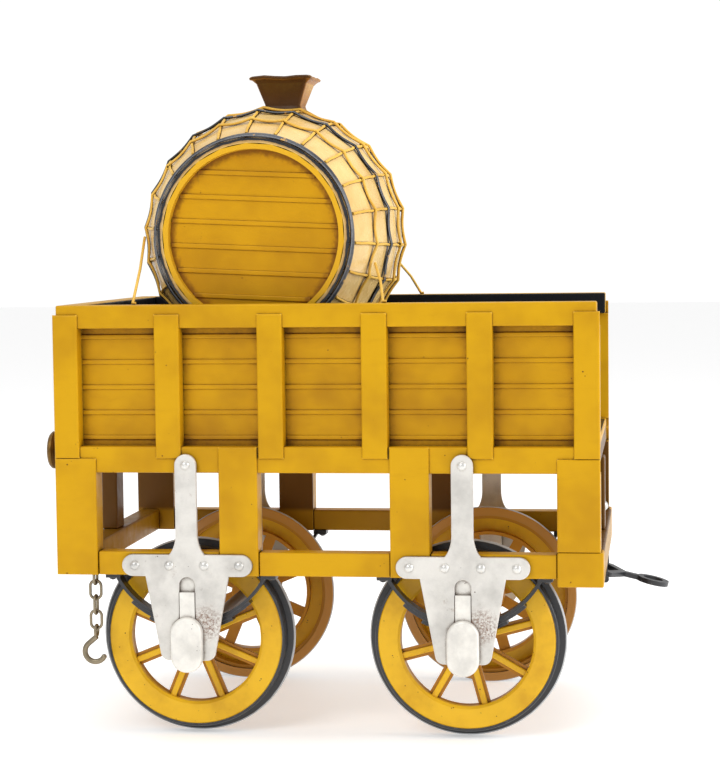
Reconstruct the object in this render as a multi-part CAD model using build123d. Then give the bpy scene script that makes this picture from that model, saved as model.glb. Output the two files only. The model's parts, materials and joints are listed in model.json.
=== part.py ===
"""Model railway tender: a planked wagon body on two sprung wheelsets, with a water barrel laid across it.

X runs along the wagon (+X is the open, drawbar end), Y runs across it (-Y is the near side), Z is up.
The origin is on the ground under the middle of the overall length. Units are millimetres.
"""
from build123d import *
from math import asin, cos, degrees, hypot, radians, sin, sqrt
import os

# ---- driving dimensions: body -------------------------------------------------------------------
BODY_LENGTH = 150.0
BODY_WIDTH = 100.0
TOP_RAIL_TOP = 120.5
TOP_RAIL_HEIGHT = 6.4
BOTTOM_RAIL_TOP = 81.5
BOTTOM_RAIL_HEIGHT = 7.2
SILL_TOP = 52.4
SILL_HEIGHT = 6.5
FRAME_DEPTH = 6.0            # how far rails and sills reach in from the outer face
LAP_SKIN = 0.8               # sheet that stakes and posts lap over the rails
EDGE_RADIUS = 0.5            # folded sheet edge
SHEET = 1.6                  # planked panels and floor
PANEL_RECESS = 4.4           # from the rail's outer face to the panel's outer face
BEAD_HEIGHT = 0.5            # raised bead that covers each plank seam
BEAD_WIDTH = 1.3
PLANK_PITCH = 7.0
FIRST_SEAM = 2.4             # top of the panel down to its first seam
STAKE_WIDTH = 7.0
STAKE_DEPTH = 5.4
STAKE_COUNT = 6
STAKE_TOP_GAP = 2.6          # rail left showing above a stake's lap
STAKE_BOTTOM_LAP = 3.2
REAR_STAKE_COUNT = 2
POST_WIDTH = 10.8
CORNER_POST_WIDTH = 11.6
INNER_POST_OFFSET = 9.3      # middle stake to inner post, so that their laps stay clear
POST_DEPTH = 7.0
END_POST_WIDTH = 8.0         # middle posts at the two ends, measured across the wagon
END_POST_DEPTH = 5.4
FRONT_BEAM_DEPTH = 12.4
FRONT_BEAM_TOP = 53.2
FRONT_BEAM_BOTTOM = 43.8
POST_BOLT_DROP = 4.0         # bolt below the middle of the front end post

# ---- driving dimensions: running gear -----------------------------------------------------------
WHEELBASE = 76.0
WHEEL_RADIUS = 27.4          # over the flange, which is what stands on a flat surface
TREAD_RADIUS = 25.4
FLANGE_WIDTH = 1.8
TYRE_WIDTH = 6.6
TYRE_THICKNESS = 0.8
WHEEL_SETBACK = 8.6          # body's outer face to the wheel's outer face
RIM_DEPTH = 5.6
RIM_RADIAL = 6.2
RIM_WALL = 1.0
SPOKE_COUNT = 8
SPOKE_BASE_WIDTH = 3.4
SPOKE_RIB_WIDTH = 1.7
SPOKE_BASE_THICKNESS = 0.8
SPOKE_RIB_HEIGHT = 0.9
SPOKE_SETBACK = 1.5
HUB_RADIUS = 5.0
HUB_LENGTH = 8.4
HUB_SETBACK = 0.2
WHEEL_TURNS = {"rear": 22.5, "front": 30.0}
AXLE_RADIUS = 2.0
JOURNAL_RADIUS = 1.6
JOURNAL_CLEARANCE = 0.05
JOURNAL_END_PLAY = 0.25
GUARD_SHEET = 1.2
GUARD_TONGUE_WIDTH = 6.0
GUARD_TOP = 79.6
GUARD_WING_LENGTH = 36.4
GUARD_WING_HEIGHT = 6.0
GUARD_NECK_WIDTH = 14.0
GUARD_BODY_WIDTH = 23.5
GUARD_LEG_WIDTH = 14.6
GUARD_BOTTOM = 22.6
GUARD_SLOT_WIDTH = 4.4
GUARD_SLOT_TOP_GAP = 0.2     # slot's round top below the sill
GUARD_SHOULDER_RISE = 6.0    # curved shoulder from the wings up to the tongue
GUARD_LEG_CORNER = 2.4
GUARD_EDGE = 0.3
SLOT_CLEARANCE = 0.1
BOLT_RADIUS = 1.35
BOLT_HEIGHT = 0.9
GUARD_BOLT_X = (4.9, 14.6)
BOX_WIDTH = 8.8
BOX_HEIGHT = 15.2
BOX_THICKNESS = 2.4
BOX_DROP = 0.2               # the cover's middle sits this far below the axle
BOX_EDGE = 0.8
BOX_FOOT_GAP = 0.4           # neck and block end above the guard's legs
BLOCK_WIDTH = 6.4
BLOCK_DEPTH = 3.0
BLOCK_GAP = 0.1              # block to sill, and block to spring
BORE_SKIN = 0.8              # metal left in front of the blind journal bore
BOSS_WIDTH = 8.0
BOSS_DEPTH = 4.2
BOSS_WALL = 1.2
SPRING_HALF_SPAN = 20.2
SPRING_WIDTH = 4.2
LEAF_THICKNESS = 0.9
LEAF_GAP = 0.05
LOWER_LEAF_SPANS = (15.6, 10.6)
SPRING_FOOT = 3.8
SPRING_FOOT_THICKNESS = 1.2
RIVET_RADIUS = 1.2
RIVET_HEIGHT = 0.84

# ---- driving dimensions: barrel and funnel ------------------------------------------------------
BARREL_X = -20.6
BARREL_AXIS_Z = 139.1
BARREL_LENGTH = 76.4
BARREL_BULGE_RADIUS = 36.6
BARREL_END_RADIUS = 27.2
STAVE_THICKNESS = 1.6
HEAD_RECESS = 2.4
HEAD_THICKNESS = 1.4
HEAD_PLANKS = 7
HEAD_TILT = -2.8
CHIME_WIDTH = 3.2
HOOP_THICKNESS = 0.6
HOOP_WIDTH = 1.4
MID_HOOP_WIDTH = 1.8
HOOP_GAP = 0.05
MID_HOOP_Y = 15.5
NET_RADIUS = 0.4
NET_LINES = 22
NET_FIRST_LINE = 93.6       # degrees round the axis; the funnel stands between two lines
NET_RING_Y = (-26.5, -6.0, 6.0, 26.5)
NET_GAP = 0.1
STAY_RADIUS = 0.4
STAYS = ((180.0, -53.0), (-14.0, 16.6))   # angle round the barrel at the top, X at the foot
CRADLE_Y = 20.0
CRADLE_THICKNESS = 4.0
CRADLE_WIDTH = 42.0
CRADLE_GAP = 0.05
CRADLE_TOP = 112.7
FUNNEL_OFFSET_X = 3.0
FUNNEL_TOP = 18.6
FUNNEL_BOTTOM = 9.4
FUNNEL_RISE = 9.9
FUNNEL_WALL = 0.8

# ---- driving dimensions: buffers, drawbar and coupling chain ------------------------------------
BUFFER_Y = 23.0
BUFFER_Z = 78.0
BUFFER_RADIUS = 5.4
BUFFER_DISC = 2.0
BUFFER_REACH = 8.8
BUFFER_STOCK_RADIUS = 2.4
DRAWBAR_PIN_DROP = 2.4       # pin centre below the front beam
DRAWBAR_PIN_RADIUS = 0.8
DRAWBAR_PIN_CLEARANCE = 0.06
DRAWBAR_ARM_Y = 7.2
DRAWBAR_BAR_WIDTH = 2.2
DRAWBAR_BAR_THICKNESS = 1.4
DRAWBAR_DROOP = 13.0         # degrees below level at rest
DRAWBAR_CROTCH = 6.4
DRAWBAR_EYE_REACH = 15.2     # pin to the middle of the eye
DRAWBAR_EYE_RADIUS = 4.6
DRAWBAR_EYE_BORE = 2.9
LUG_THICKNESS = 1.4
LUG_RADIUS = 2.0
LUG_GAP = 0.1
STOP_RADIUS = 0.5            # cross rod that the lowered drawbar rests on
STOP_REACH = 1.75
STOP_GAP = 0.1
CHAIN_FROM_END = 10.0        # rear face of the body to the chain
CHAIN_FROM_SIDE = 3.4        # near face of the body to the chain
CHAIN_WIRE = 0.4             # wire radius
LINK_HALF_WIDTH = 1.55
LINK_STRAIGHT = 2.0
CHAIN_GAP = 0.12
EYE_HALF_WIDTH = 1.7
EYE_DROP = 3.0
HOOK_WIRE = 0.75
HOOK_RADIUS = 2.9
HOOK_SHANK = 3.1
HOOK_LEAN = 50.0             # degrees that the shank leans back
HOOK_TURN = 200.0            # degrees that the bowl bends through

# ---- derived places -----------------------------------------------------------------------------
HALF_L = BODY_LENGTH / 2
HALF_W = BODY_WIDTH / 2
RAIL_FACE = HALF_W - LAP_SKIN
FRAME_INNER = RAIL_FACE - FRAME_DEPTH
PANEL_OUT = RAIL_FACE - PANEL_RECESS
PANEL_IN = PANEL_OUT - SHEET
TOP_RAIL_BOTTOM = TOP_RAIL_TOP - TOP_RAIL_HEIGHT
BOTTOM_RAIL_BOTTOM = BOTTOM_RAIL_TOP - BOTTOM_RAIL_HEIGHT
SILL_BOTTOM = SILL_TOP - SILL_HEIGHT
STAKE_FOOT = BOTTOM_RAIL_TOP - STAKE_BOTTOM_LAP
CORNER_X = HALF_L - CORNER_POST_WIDTH / 2
STAKE_PITCH = (BODY_LENGTH - STAKE_WIDTH) / (STAKE_COUNT - 1)
INNER_POST_X = STAKE_PITCH / 2 + INNER_POST_OFFSET
WHEEL_FACE = HALF_W - WHEEL_SETBACK
AXLE_Z = WHEEL_RADIUS
SPRING_OUTER = HALF_W - BLOCK_DEPTH - BLOCK_GAP
SPRING_INNER = SPRING_OUTER - SPRING_WIDTH
BOSS_TOP = AXLE_Z + JOURNAL_RADIUS + JOURNAL_CLEARANCE + BOSS_WALL
SPRING_STACK = (len(LOWER_LEAF_SPANS) + 1) * (LEAF_THICKNESS + LEAF_GAP)
SPRING_SAG = SILL_BOTTOM - LEAF_THICKNESS - BOSS_TOP - SPRING_STACK
BARREL_HALF = BARREL_LENGTH / 2
CHAIN_X = -HALF_L + CHAIN_FROM_END
CHAIN_Y = -HALF_W + CHAIN_FROM_SIDE
HANG_OFFSET = 2 * CHAIN_WIRE + CHAIN_GAP
REAR_END = -HALF_L - BUFFER_REACH
FRONT_END = (HALF_L + LAP_SKIN - LUG_RADIUS
             + (DRAWBAR_EYE_REACH + DRAWBAR_EYE_RADIUS) * cos(radians(DRAWBAR_DROOP))
             + DRAWBAR_BAR_THICKNESS / 2 * sin(radians(DRAWBAR_DROOP)))
MIDDLE_X = (REAR_END + FRONT_END) / 2    # of the overall length, where the origin goes
STAVE_ARC = (BARREL_HALF ** 2 + (BARREL_BULGE_RADIUS - BARREL_END_RADIUS) ** 2) / (
    2 * (BARREL_BULGE_RADIUS - BARREL_END_RADIUS))

parts = {}


def block(x0, x1, y0, y1, z0, z1, radius=0.0):
    """A box given by its corners, with its edges rounded as folded sheet is."""
    size = (x1 - x0, y1 - y0, z1 - z0)
    solid = Pos((x0 + x1) / 2, (y0 + y1) / 2, (z0 + z1) / 2) * Box(*size)
    if radius > 0:
        solid = fillet(solid.edges(), min(radius, min(size) * 0.4))
    return solid


def rod_y(x, z, y0, y1, radius):
    """A cylinder along Y from y0 to y1."""
    return Pos(x, (y0 + y1) / 2, z) * Rot(90, 0, 0) * Cylinder(radius, abs(y1 - y0))


def rod_between(start, end, radius):
    """A round rod from one point to another."""
    a = Vector(*start)
    b = Vector(*end)
    plane = Plane(origin=a, z_dir=b - a)
    return extrude(plane * Circle(radius), (b - a).length)


def other_side(shape):
    """The same piece on the far side of the wagon."""
    return mirror(shape, about=Plane.XZ)


def dome(radius, height, direction):
    """A round bolt head on the origin, standing up along the direction given."""
    ball = (radius ** 2 + height ** 2) / (2 * height)
    cap = Pos(0, 0, height - ball) * Sphere(ball)
    cap = cap & Pos(0, 0, height / 2) * Box(4 * radius, 4 * radius, height)
    return Plane(origin=(0, 0, 0), z_dir=direction) * cap


# ---- body ---------------------------------------------------------------------------------------
def stake_places():
    """Middle X of each stake along a side."""
    return [-HALF_L + STAKE_WIDTH / 2 + STAKE_PITCH * i for i in range(STAKE_COUNT)]


def planked_sheet(length, bottom, top):
    """A pressed sheet in the XZ plane with a bead over each seam, beads towards -Y, back face at Y 0."""
    sheet = block(-length / 2, length / 2, -SHEET, 0, bottom, top)
    z = top - FIRST_SEAM
    while z > bottom + BEAD_WIDTH:
        low = z - BEAD_WIDTH / 2
        bead = block(-length / 2, length / 2, -SHEET - BEAD_HEIGHT, -SHEET, low, low + BEAD_WIDTH)
        bead = fillet(bead.edges().filter_by(Axis.X).group_by(Axis.Y)[0], BEAD_HEIGHT * 0.8)
        sheet += bead
        z -= PLANK_PITCH
    return sheet


def side_planks():
    panel_length = BODY_LENGTH - 2 * PANEL_RECESS - 2 * LAP_SKIN - 2 * SHEET
    return Pos(0, -PANEL_IN, 0) * planked_sheet(panel_length, BOTTOM_RAIL_TOP, TOP_RAIL_BOTTOM)


def rear_planks():
    width = 2 * PANEL_IN
    sheet = Rot(0, 0, -90) * planked_sheet(width, BOTTOM_RAIL_TOP, TOP_RAIL_BOTTOM)
    return Pos(-HALF_L + LAP_SKIN + PANEL_RECESS + SHEET, 0, 0) * sheet


def side_rail(bottom, top):
    return block(-HALF_L + LAP_SKIN, HALF_L - LAP_SKIN, -RAIL_FACE, -FRAME_INNER, bottom, top, EDGE_RADIUS)


def end_rail(sign, bottom, top):
    outer = HALF_L - LAP_SKIN
    x0, x1 = sorted((sign * outer, sign * (outer - FRAME_DEPTH)))
    return block(x0, x1, -FRAME_INNER, FRAME_INNER, bottom, top, EDGE_RADIUS)


def lapped_post(x, width, core, skin, depth):
    """A sheet post standing on a side: a core between two rails and a skin that laps over them."""
    left = x - width / 2
    right = x + width / 2
    post = block(left, right, -HALF_W, -RAIL_FACE, skin[0], skin[1])
    post += block(left, right, -RAIL_FACE, -HALF_W + depth, core[0], core[1])
    front = post.faces().sort_by(Axis.Y)[0]
    return fillet(front.edges(), min(EDGE_RADIUS, LAP_SKIN * 0.7))


def upper_stakes():
    skin = (STAKE_FOOT, TOP_RAIL_TOP - STAKE_TOP_GAP)
    core = (BOTTOM_RAIL_TOP, TOP_RAIL_BOTTOM)
    depth = min(STAKE_DEPTH, LAP_SKIN + PANEL_RECESS - BEAD_HEIGHT)
    return [lapped_post(x, STAKE_WIDTH, core, skin, depth) for x in stake_places()]


def rear_stakes():
    """Stakes across the closed end, between the corner stakes."""
    pitch = 2 * FRAME_INNER / (REAR_STAKE_COUNT + 1)
    depth = min(STAKE_DEPTH, LAP_SKIN + PANEL_RECESS - BEAD_HEIGHT)
    skin = (BOTTOM_RAIL_TOP, TOP_RAIL_TOP - STAKE_TOP_GAP)
    stakes = []
    for i in range(REAR_STAKE_COUNT):
        y = -FRAME_INNER + pitch * (i + 1)
        stake = block(-HALF_L, -HALF_L + LAP_SKIN, y - STAKE_WIDTH / 2, y + STAKE_WIDTH / 2, *skin)
        stake += block(-HALF_L + LAP_SKIN, -HALF_L + depth, y - STAKE_WIDTH / 2, y + STAKE_WIDTH / 2,
                       BOTTOM_RAIL_TOP, TOP_RAIL_BOTTOM)
        outer = stake.faces().sort_by(Axis.X)[0]
        stakes.append(fillet(outer.edges(), min(EDGE_RADIUS, LAP_SKIN * 0.7)))
    return stakes


def frame_posts():
    """Four posts under the bottom rail on one side; the front one stands on the front beam."""
    places = ((-CORNER_X, CORNER_POST_WIDTH, SILL_BOTTOM, STAKE_FOOT),
              (-INNER_POST_X, POST_WIDTH, SILL_BOTTOM, BOTTOM_RAIL_TOP),
              (INNER_POST_X, POST_WIDTH, SILL_BOTTOM, BOTTOM_RAIL_TOP),
              (CORNER_X, CORNER_POST_WIDTH, FRONT_BEAM_TOP, STAKE_FOOT))
    return [lapped_post(x, width, (foot, BOTTOM_RAIL_BOTTOM), (foot, head), POST_DEPTH)
            for x, width, foot, head in places]


def side_sill():
    """Three lengths of sill, butted between the posts."""
    edges = [-HALF_L + CORNER_POST_WIDTH, -INNER_POST_X - POST_WIDTH / 2, -INNER_POST_X + POST_WIDTH / 2,
             INNER_POST_X - POST_WIDTH / 2, INNER_POST_X + POST_WIDTH / 2, HALF_L - CORNER_POST_WIDTH]
    return [block(edges[i], edges[i + 1], -RAIL_FACE, -FRAME_INNER, SILL_BOTTOM, SILL_TOP, EDGE_RADIUS)
            for i in (0, 2, 4)]


def end_posts():
    """The middle posts under the two end rails."""
    rear = block(-HALF_L, -HALF_L + END_POST_DEPTH, -END_POST_WIDTH / 2, END_POST_WIDTH / 2,
                 SILL_TOP, BOTTOM_RAIL_BOTTOM, EDGE_RADIUS)
    front = block(HALF_L - END_POST_DEPTH, HALF_L, -END_POST_WIDTH / 2, END_POST_WIDTH / 2,
                  FRONT_BEAM_TOP, BOTTOM_RAIL_BOTTOM, EDGE_RADIUS)
    return [rear, front]


def floor_sheet():
    """The floor rests inside the four bottom rails, its top flush with theirs."""
    inner_x = HALF_L - LAP_SKIN - FRAME_DEPTH
    return block(-inner_x, inner_x, -FRAME_INNER, FRAME_INNER, BOTTOM_RAIL_TOP - SHEET, BOTTOM_RAIL_TOP)


def front_beam():
    return block(HALF_L - FRONT_BEAM_DEPTH + LAP_SKIN, HALF_L + LAP_SKIN, -HALF_W, HALF_W,
                 FRONT_BEAM_BOTTOM, FRONT_BEAM_TOP, EDGE_RADIUS)


def rear_beam():
    outer = -HALF_L + LAP_SKIN
    half_width = HALF_W - POST_DEPTH
    return block(outer, outer + FRAME_DEPTH, -half_width, half_width, SILL_BOTTOM, SILL_TOP, EDGE_RADIUS)


def build_body():
    parts["floor"] = floor_sheet()
    parts["near_side_planks"] = side_planks()
    parts["rear_end_planks"] = rear_planks()
    parts["near_top_rail"] = side_rail(TOP_RAIL_BOTTOM, TOP_RAIL_TOP)
    parts["near_bottom_rail"] = side_rail(BOTTOM_RAIL_BOTTOM, BOTTOM_RAIL_TOP)
    parts["rear_top_rail"] = end_rail(-1, TOP_RAIL_BOTTOM, TOP_RAIL_TOP)
    parts["rear_bottom_rail"] = end_rail(-1, BOTTOM_RAIL_BOTTOM, BOTTOM_RAIL_TOP)
    parts["front_bottom_rail"] = end_rail(1, BOTTOM_RAIL_BOTTOM, BOTTOM_RAIL_TOP)
    parts["near_upper_stakes"] = upper_stakes()
    parts["rear_upper_stakes"] = rear_stakes()
    parts["near_frame_posts"] = frame_posts()
    parts["near_sill"] = side_sill()
    parts["end_posts"] = end_posts()
    parts["rear_beam"] = rear_beam()
    parts["front_beam"] = front_beam()
    for name in ("side_planks", "top_rail", "bottom_rail", "upper_stakes", "frame_posts", "sill"):
        near = parts["near_" + name]
        far = [other_side(piece) for piece in near] if isinstance(near, list) else other_side(near)
        parts["far_" + name] = far


# ---- running gear -------------------------------------------------------------------------------
def axle_guard(x):
    """One pressed plate: tongue, winged bar, tapering body and a slot that leaves two legs."""
    neck_top = SILL_BOTTOM + GUARD_WING_HEIGHT
    wing_z = SILL_BOTTOM + GUARD_WING_HEIGHT / 2
    face = Pos(x, wing_z) * SlotOverall(GUARD_WING_LENGTH, GUARD_WING_HEIGHT)
    tongue_foot = wing_z - GUARD_TONGUE_WIDTH
    tongue = SlotOverall(GUARD_TOP - tongue_foot, GUARD_TONGUE_WIDTH)
    face += Pos(x, (GUARD_TOP + tongue_foot) / 2) * Rot(0, 0, 90) * tongue
    body_half = GUARD_BODY_WIDTH / 2
    leg_half = GUARD_LEG_WIDTH / 2
    body = Polygon((x - body_half, SILL_BOTTOM + 0.5), (x - leg_half, GUARD_BOTTOM),
                   (x + leg_half, GUARD_BOTTOM), (x + body_half, SILL_BOTTOM + 0.5), align=None)
    neck_half = GUARD_NECK_WIDTH / 2
    tongue_half = GUARD_TONGUE_WIDTH / 2
    shoulder_top = neck_top + GUARD_SHOULDER_RISE
    shoulder = Polygon((x - neck_half, neck_top - 1.0), (x + neck_half, neck_top - 1.0),
                       (x + tongue_half, shoulder_top), (x - tongue_half, shoulder_top), align=None)
    hollow = Ellipse(neck_half - tongue_half, GUARD_SHOULDER_RISE + 1.0)
    for sign in (-1, 1):
        shoulder -= Pos(x + sign * neck_half, shoulder_top) * hollow
    face += body + shoulder
    leg_corners = [v for v in face.vertices() if v.Y < GUARD_BOTTOM + 0.1]
    face = fillet(leg_corners, GUARD_LEG_CORNER)
    slot_top = SILL_BOTTOM - GUARD_SLOT_TOP_GAP
    slot_length = 2 * (slot_top - GUARD_BOTTOM)
    face -= Pos(x, GUARD_BOTTOM) * Rot(0, 0, 90) * SlotOverall(slot_length, GUARD_SLOT_WIDTH)
    plate = Pos(0, -HALF_W, 0) * extrude(Plane.XZ * face, GUARD_SHEET)
    front = plate.faces().sort_by(Axis.Y)[0]
    return fillet(front.edges(), GUARD_EDGE)


def guard_bolts(x):
    """Dome heads on one guard: four along the wings and one at the top of the tongue."""
    wing_z = SILL_BOTTOM + GUARD_WING_HEIGHT / 2
    spots = [(x + sign * offset, wing_z) for offset in GUARD_BOLT_X for sign in (-1, 1)]
    spots.append((x, GUARD_TOP - GUARD_TONGUE_WIDTH / 2))
    head = dome(BOLT_RADIUS, BOLT_HEIGHT, (0, -1, 0))
    return [Pos(spot[0], -HALF_W - GUARD_SHEET, spot[1]) * head for spot in spots]


def axle_box(x):
    """Axle box casting: oblong cover in front, neck in the guard's slot, block and bored boss behind."""
    neck = GUARD_SLOT_WIDTH / 2 - SLOT_CLEARANCE
    front = -HALF_W - GUARD_SHEET - SLOT_CLEARANCE
    cover_face = Pos(x, AXLE_Z - BOX_DROP) * Rot(0, 0, 90) * SlotOverall(BOX_HEIGHT, BOX_WIDTH)
    cover = Pos(0, front, 0) * extrude(Plane.XZ * cover_face, BOX_THICKNESS)
    cover = fillet(cover.faces().sort_by(Axis.Y)[0].edges(), BOX_EDGE)
    low = GUARD_BOTTOM + BOX_FOOT_GAP
    guard_back = -HALF_W + SLOT_CLEARANCE
    block_back = -HALF_W + BLOCK_DEPTH
    box = cover + block(x - neck, x + neck, front, guard_back, low, SILL_BOTTOM - GUARD_SLOT_WIDTH)
    box += block(x - BLOCK_WIDTH / 2, x + BLOCK_WIDTH / 2, guard_back, block_back,
                 low, SILL_BOTTOM - BLOCK_GAP)
    boss_half = JOURNAL_RADIUS + JOURNAL_CLEARANCE + BOSS_WALL
    box += block(x - BOSS_WIDTH / 2, x + BOSS_WIDTH / 2, block_back, block_back + BOSS_DEPTH,
                 AXLE_Z - boss_half, AXLE_Z + boss_half)
    bore = rod_y(x, AXLE_Z, -HALF_W + BORE_SKIN, block_back + BOSS_DEPTH, JOURNAL_RADIUS + JOURNAL_CLEARANCE)
    return box - bore


def leaf(x, half_span, drop):
    """One bowed leaf: an arc centred above the axle, drop below the main leaf's inner line."""
    main_radius = (SPRING_HALF_SPAN ** 2 + SPRING_SAG ** 2) / (2 * SPRING_SAG)
    centre_z = SILL_BOTTOM - LEAF_THICKNESS - SPRING_SAG + main_radius
    inner = main_radius + drop
    turn = asin(half_span / main_radius)
    reach = 2 * (inner + LEAF_THICKNESS)
    wedge = Polygon((0, 0), (-reach * sin(turn), -reach * cos(turn)), (0, -reach),
                    (reach * sin(turn), -reach * cos(turn)), align=None)
    shape = Pos(x, centre_z) * ((Circle(inner + LEAF_THICKNESS) - Circle(inner)) & wedge)
    return Pos(0, -SPRING_INNER, 0) * extrude(Plane.XZ * shape, SPRING_WIDTH)


def leaf_spring(x):
    """Main leaf with flat feet under the sill, and shorter leaves beneath it."""
    main = leaf(x, SPRING_HALF_SPAN, 0.0)
    for sign in (-1, 1):
        ends = sorted((x + sign * (SPRING_HALF_SPAN - 0.3), x + sign * (SPRING_HALF_SPAN + SPRING_FOOT)))
        main += block(ends[0], ends[1], -SPRING_OUTER, -SPRING_INNER,
                      SILL_BOTTOM - SPRING_FOOT_THICKNESS, SILL_BOTTOM)
    lower = [leaf(x, span, (i + 1) * (LEAF_THICKNESS + LEAF_GAP)) for i, span in enumerate(LOWER_LEAF_SPANS)]
    return [main] + lower


def spring_rivets(x):
    """Dome heads that hold the two feet of one spring under the sill."""
    y = -(SPRING_OUTER + SPRING_INNER) / 2
    z = SILL_BOTTOM - SPRING_FOOT_THICKNESS
    head = dome(RIVET_RADIUS, RIVET_HEIGHT, (0, 0, -1))
    return [Pos(x + sign * (SPRING_HALF_SPAN + SPRING_FOOT * 0.6), y, z) * head for sign in (-1, 1)]


def revolve_profile(points):
    """Turn a closed (radius, y) outline about the Y axis through the origin."""
    outline = Polyline(*[(r, y) for r, y in points], close=True)
    return revolve(make_face(outline), Axis.Y)


def tyre():
    """Thin iron tyre with its flange inboard; outer wheel face at Y 0, inboard is +Y."""
    inner = TREAD_RADIUS - TYRE_THICKNESS
    flange_start = TYRE_WIDTH - FLANGE_WIDTH
    return revolve_profile([(inner, 0.2), (TREAD_RADIUS - 0.2, 0.2), (TREAD_RADIUS, 0.5),
                            (TREAD_RADIUS, flange_start), (WHEEL_RADIUS - 0.5, flange_start + 0.2),
                            (WHEEL_RADIUS, flange_start + 0.7), (WHEEL_RADIUS, TYRE_WIDTH - 0.4),
                            (WHEEL_RADIUS - 0.4, TYRE_WIDTH), (inner, TYRE_WIDTH)])


def wheel_disc(turn):
    """Pressed wheel: channel-section rim, ribbed spokes and hub, with a bore for the axle."""
    rim_out = TREAD_RADIUS - TYRE_THICKNESS
    rim_in = rim_out - RIM_RADIAL
    rim = revolve_profile([(rim_in, 0.7), (rim_in + 0.7, 0), (rim_out - 0.4, 0), (rim_out, 0.4),
                           (rim_out, RIM_DEPTH), (rim_out - RIM_WALL, RIM_DEPTH),
                           (rim_out - RIM_WALL, RIM_WALL),
                           (rim_in + RIM_WALL, RIM_WALL + 0.3), (rim_in + RIM_WALL, RIM_DEPTH - 1.2),
                           (rim_in, RIM_DEPTH - 1.2)])
    hub = revolve_profile([(0, HUB_SETBACK), (HUB_RADIUS - 1.4, HUB_SETBACK), (HUB_RADIUS, HUB_SETBACK + 1.2),
                           (HUB_RADIUS, HUB_LENGTH - 0.6), (HUB_RADIUS - 0.6, HUB_LENGTH), (0, HUB_LENGTH)])
    base_y = SPOKE_SETBACK + SPOKE_RIB_HEIGHT
    spoke = block(HUB_RADIUS - 1, rim_in + 0.6, base_y, base_y + SPOKE_BASE_THICKNESS,
                  -SPOKE_BASE_WIDTH / 2, SPOKE_BASE_WIDTH / 2)
    rib = block(HUB_RADIUS - 1, rim_in + 0.6, SPOKE_SETBACK, base_y + 0.1,
                -SPOKE_RIB_WIDTH / 2, SPOKE_RIB_WIDTH / 2)
    rib = fillet(rib.edges().filter_by(Axis.X).group_by(Axis.Y)[0], 0.4)
    wheel = rim + hub
    for i in range(SPOKE_COUNT):
        wheel += Rot(0, turn + 360 / SPOKE_COUNT * i, 0) * (spoke + rib)
    return wheel - rod_y(0, 0, -1, HUB_LENGTH + 1, AXLE_RADIUS)


def axle(x):
    """Axle with a shoulder inside each wheel and a journal at each end."""
    journal_end = HALF_W - BORE_SKIN - JOURNAL_END_PLAY
    wheel_seat = WHEEL_FACE - HUB_SETBACK
    shaft = rod_y(x, AXLE_Z, -wheel_seat, wheel_seat, AXLE_RADIUS)
    return shaft + rod_y(x, AXLE_Z, -journal_end, journal_end, JOURNAL_RADIUS)


def build_running_gear():
    bolts = []
    rivets = []
    for end, sign in (("rear", -1), ("front", 1)):
        x = sign * WHEELBASE / 2
        near_wheel = Pos(x, -WHEEL_FACE, AXLE_Z) * wheel_disc(WHEEL_TURNS[end])
        near_tyre = Pos(x, -WHEEL_FACE, AXLE_Z) * tyre()
        near = {"axle_guard": axle_guard(x), "axle_box": axle_box(x), "leaf_spring": leaf_spring(x),
                "wheel": near_wheel, "tyre": near_tyre}
        for name, piece in near.items():
            parts["near_" + end + "_" + name] = piece
            far = [other_side(one) for one in piece] if isinstance(piece, list) else other_side(piece)
            parts["far_" + end + "_" + name] = far
        parts[end + "_axle"] = axle(x)
        heads = guard_bolts(x)
        feet = spring_rivets(x)
        bolts += heads + [other_side(head) for head in heads]
        rivets += feet + [other_side(foot) for foot in feet]
    bolt_z = (FRONT_BEAM_TOP + BOTTOM_RAIL_BOTTOM) / 2 - POST_BOLT_DROP
    post_bolt = Pos(HALF_L, 0, bolt_z) * dome(BOLT_RADIUS, BOLT_HEIGHT, (1, 0, 0))
    parts["frame_bolts"] = bolts + [post_bolt]
    parts["spring_rivets"] = rivets


# ---- barrel -------------------------------------------------------------------------------------
def stave_radius(y):
    """Outer radius of the barrel at a distance y along its axis from the middle."""
    return BARREL_BULGE_RADIUS - STAVE_ARC + sqrt(STAVE_ARC ** 2 - y ** 2)


def band(y0, y1, inner_gap, thickness):
    """A ring wrapped on the barrel between two places, its inside following the staves."""
    steps = 4
    ys = [y0 + (y1 - y0) * i / steps for i in range(steps + 1)]
    inside = [(stave_radius(y) + inner_gap, y) for y in ys]
    outside = [(stave_radius(y) + inner_gap + thickness, y) for y in reversed(ys)]
    return revolve_profile(inside + outside)


def barrel_shell():
    outer = ThreePointArc((BARREL_END_RADIUS, -BARREL_HALF), (BARREL_BULGE_RADIUS, 0),
                          (BARREL_END_RADIUS, BARREL_HALF))
    inside_end = BARREL_END_RADIUS - STAVE_THICKNESS
    inner = ThreePointArc((inside_end, BARREL_HALF), (BARREL_BULGE_RADIUS - STAVE_THICKNESS, 0),
                          (inside_end, -BARREL_HALF))
    caps = [Line((BARREL_END_RADIUS, BARREL_HALF), (inside_end, BARREL_HALF)),
            Line((inside_end, -BARREL_HALF), (BARREL_END_RADIUS, -BARREL_HALF))]
    return revolve(make_face([outer, caps[0], inner, caps[1]]), Axis.Y)


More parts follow.
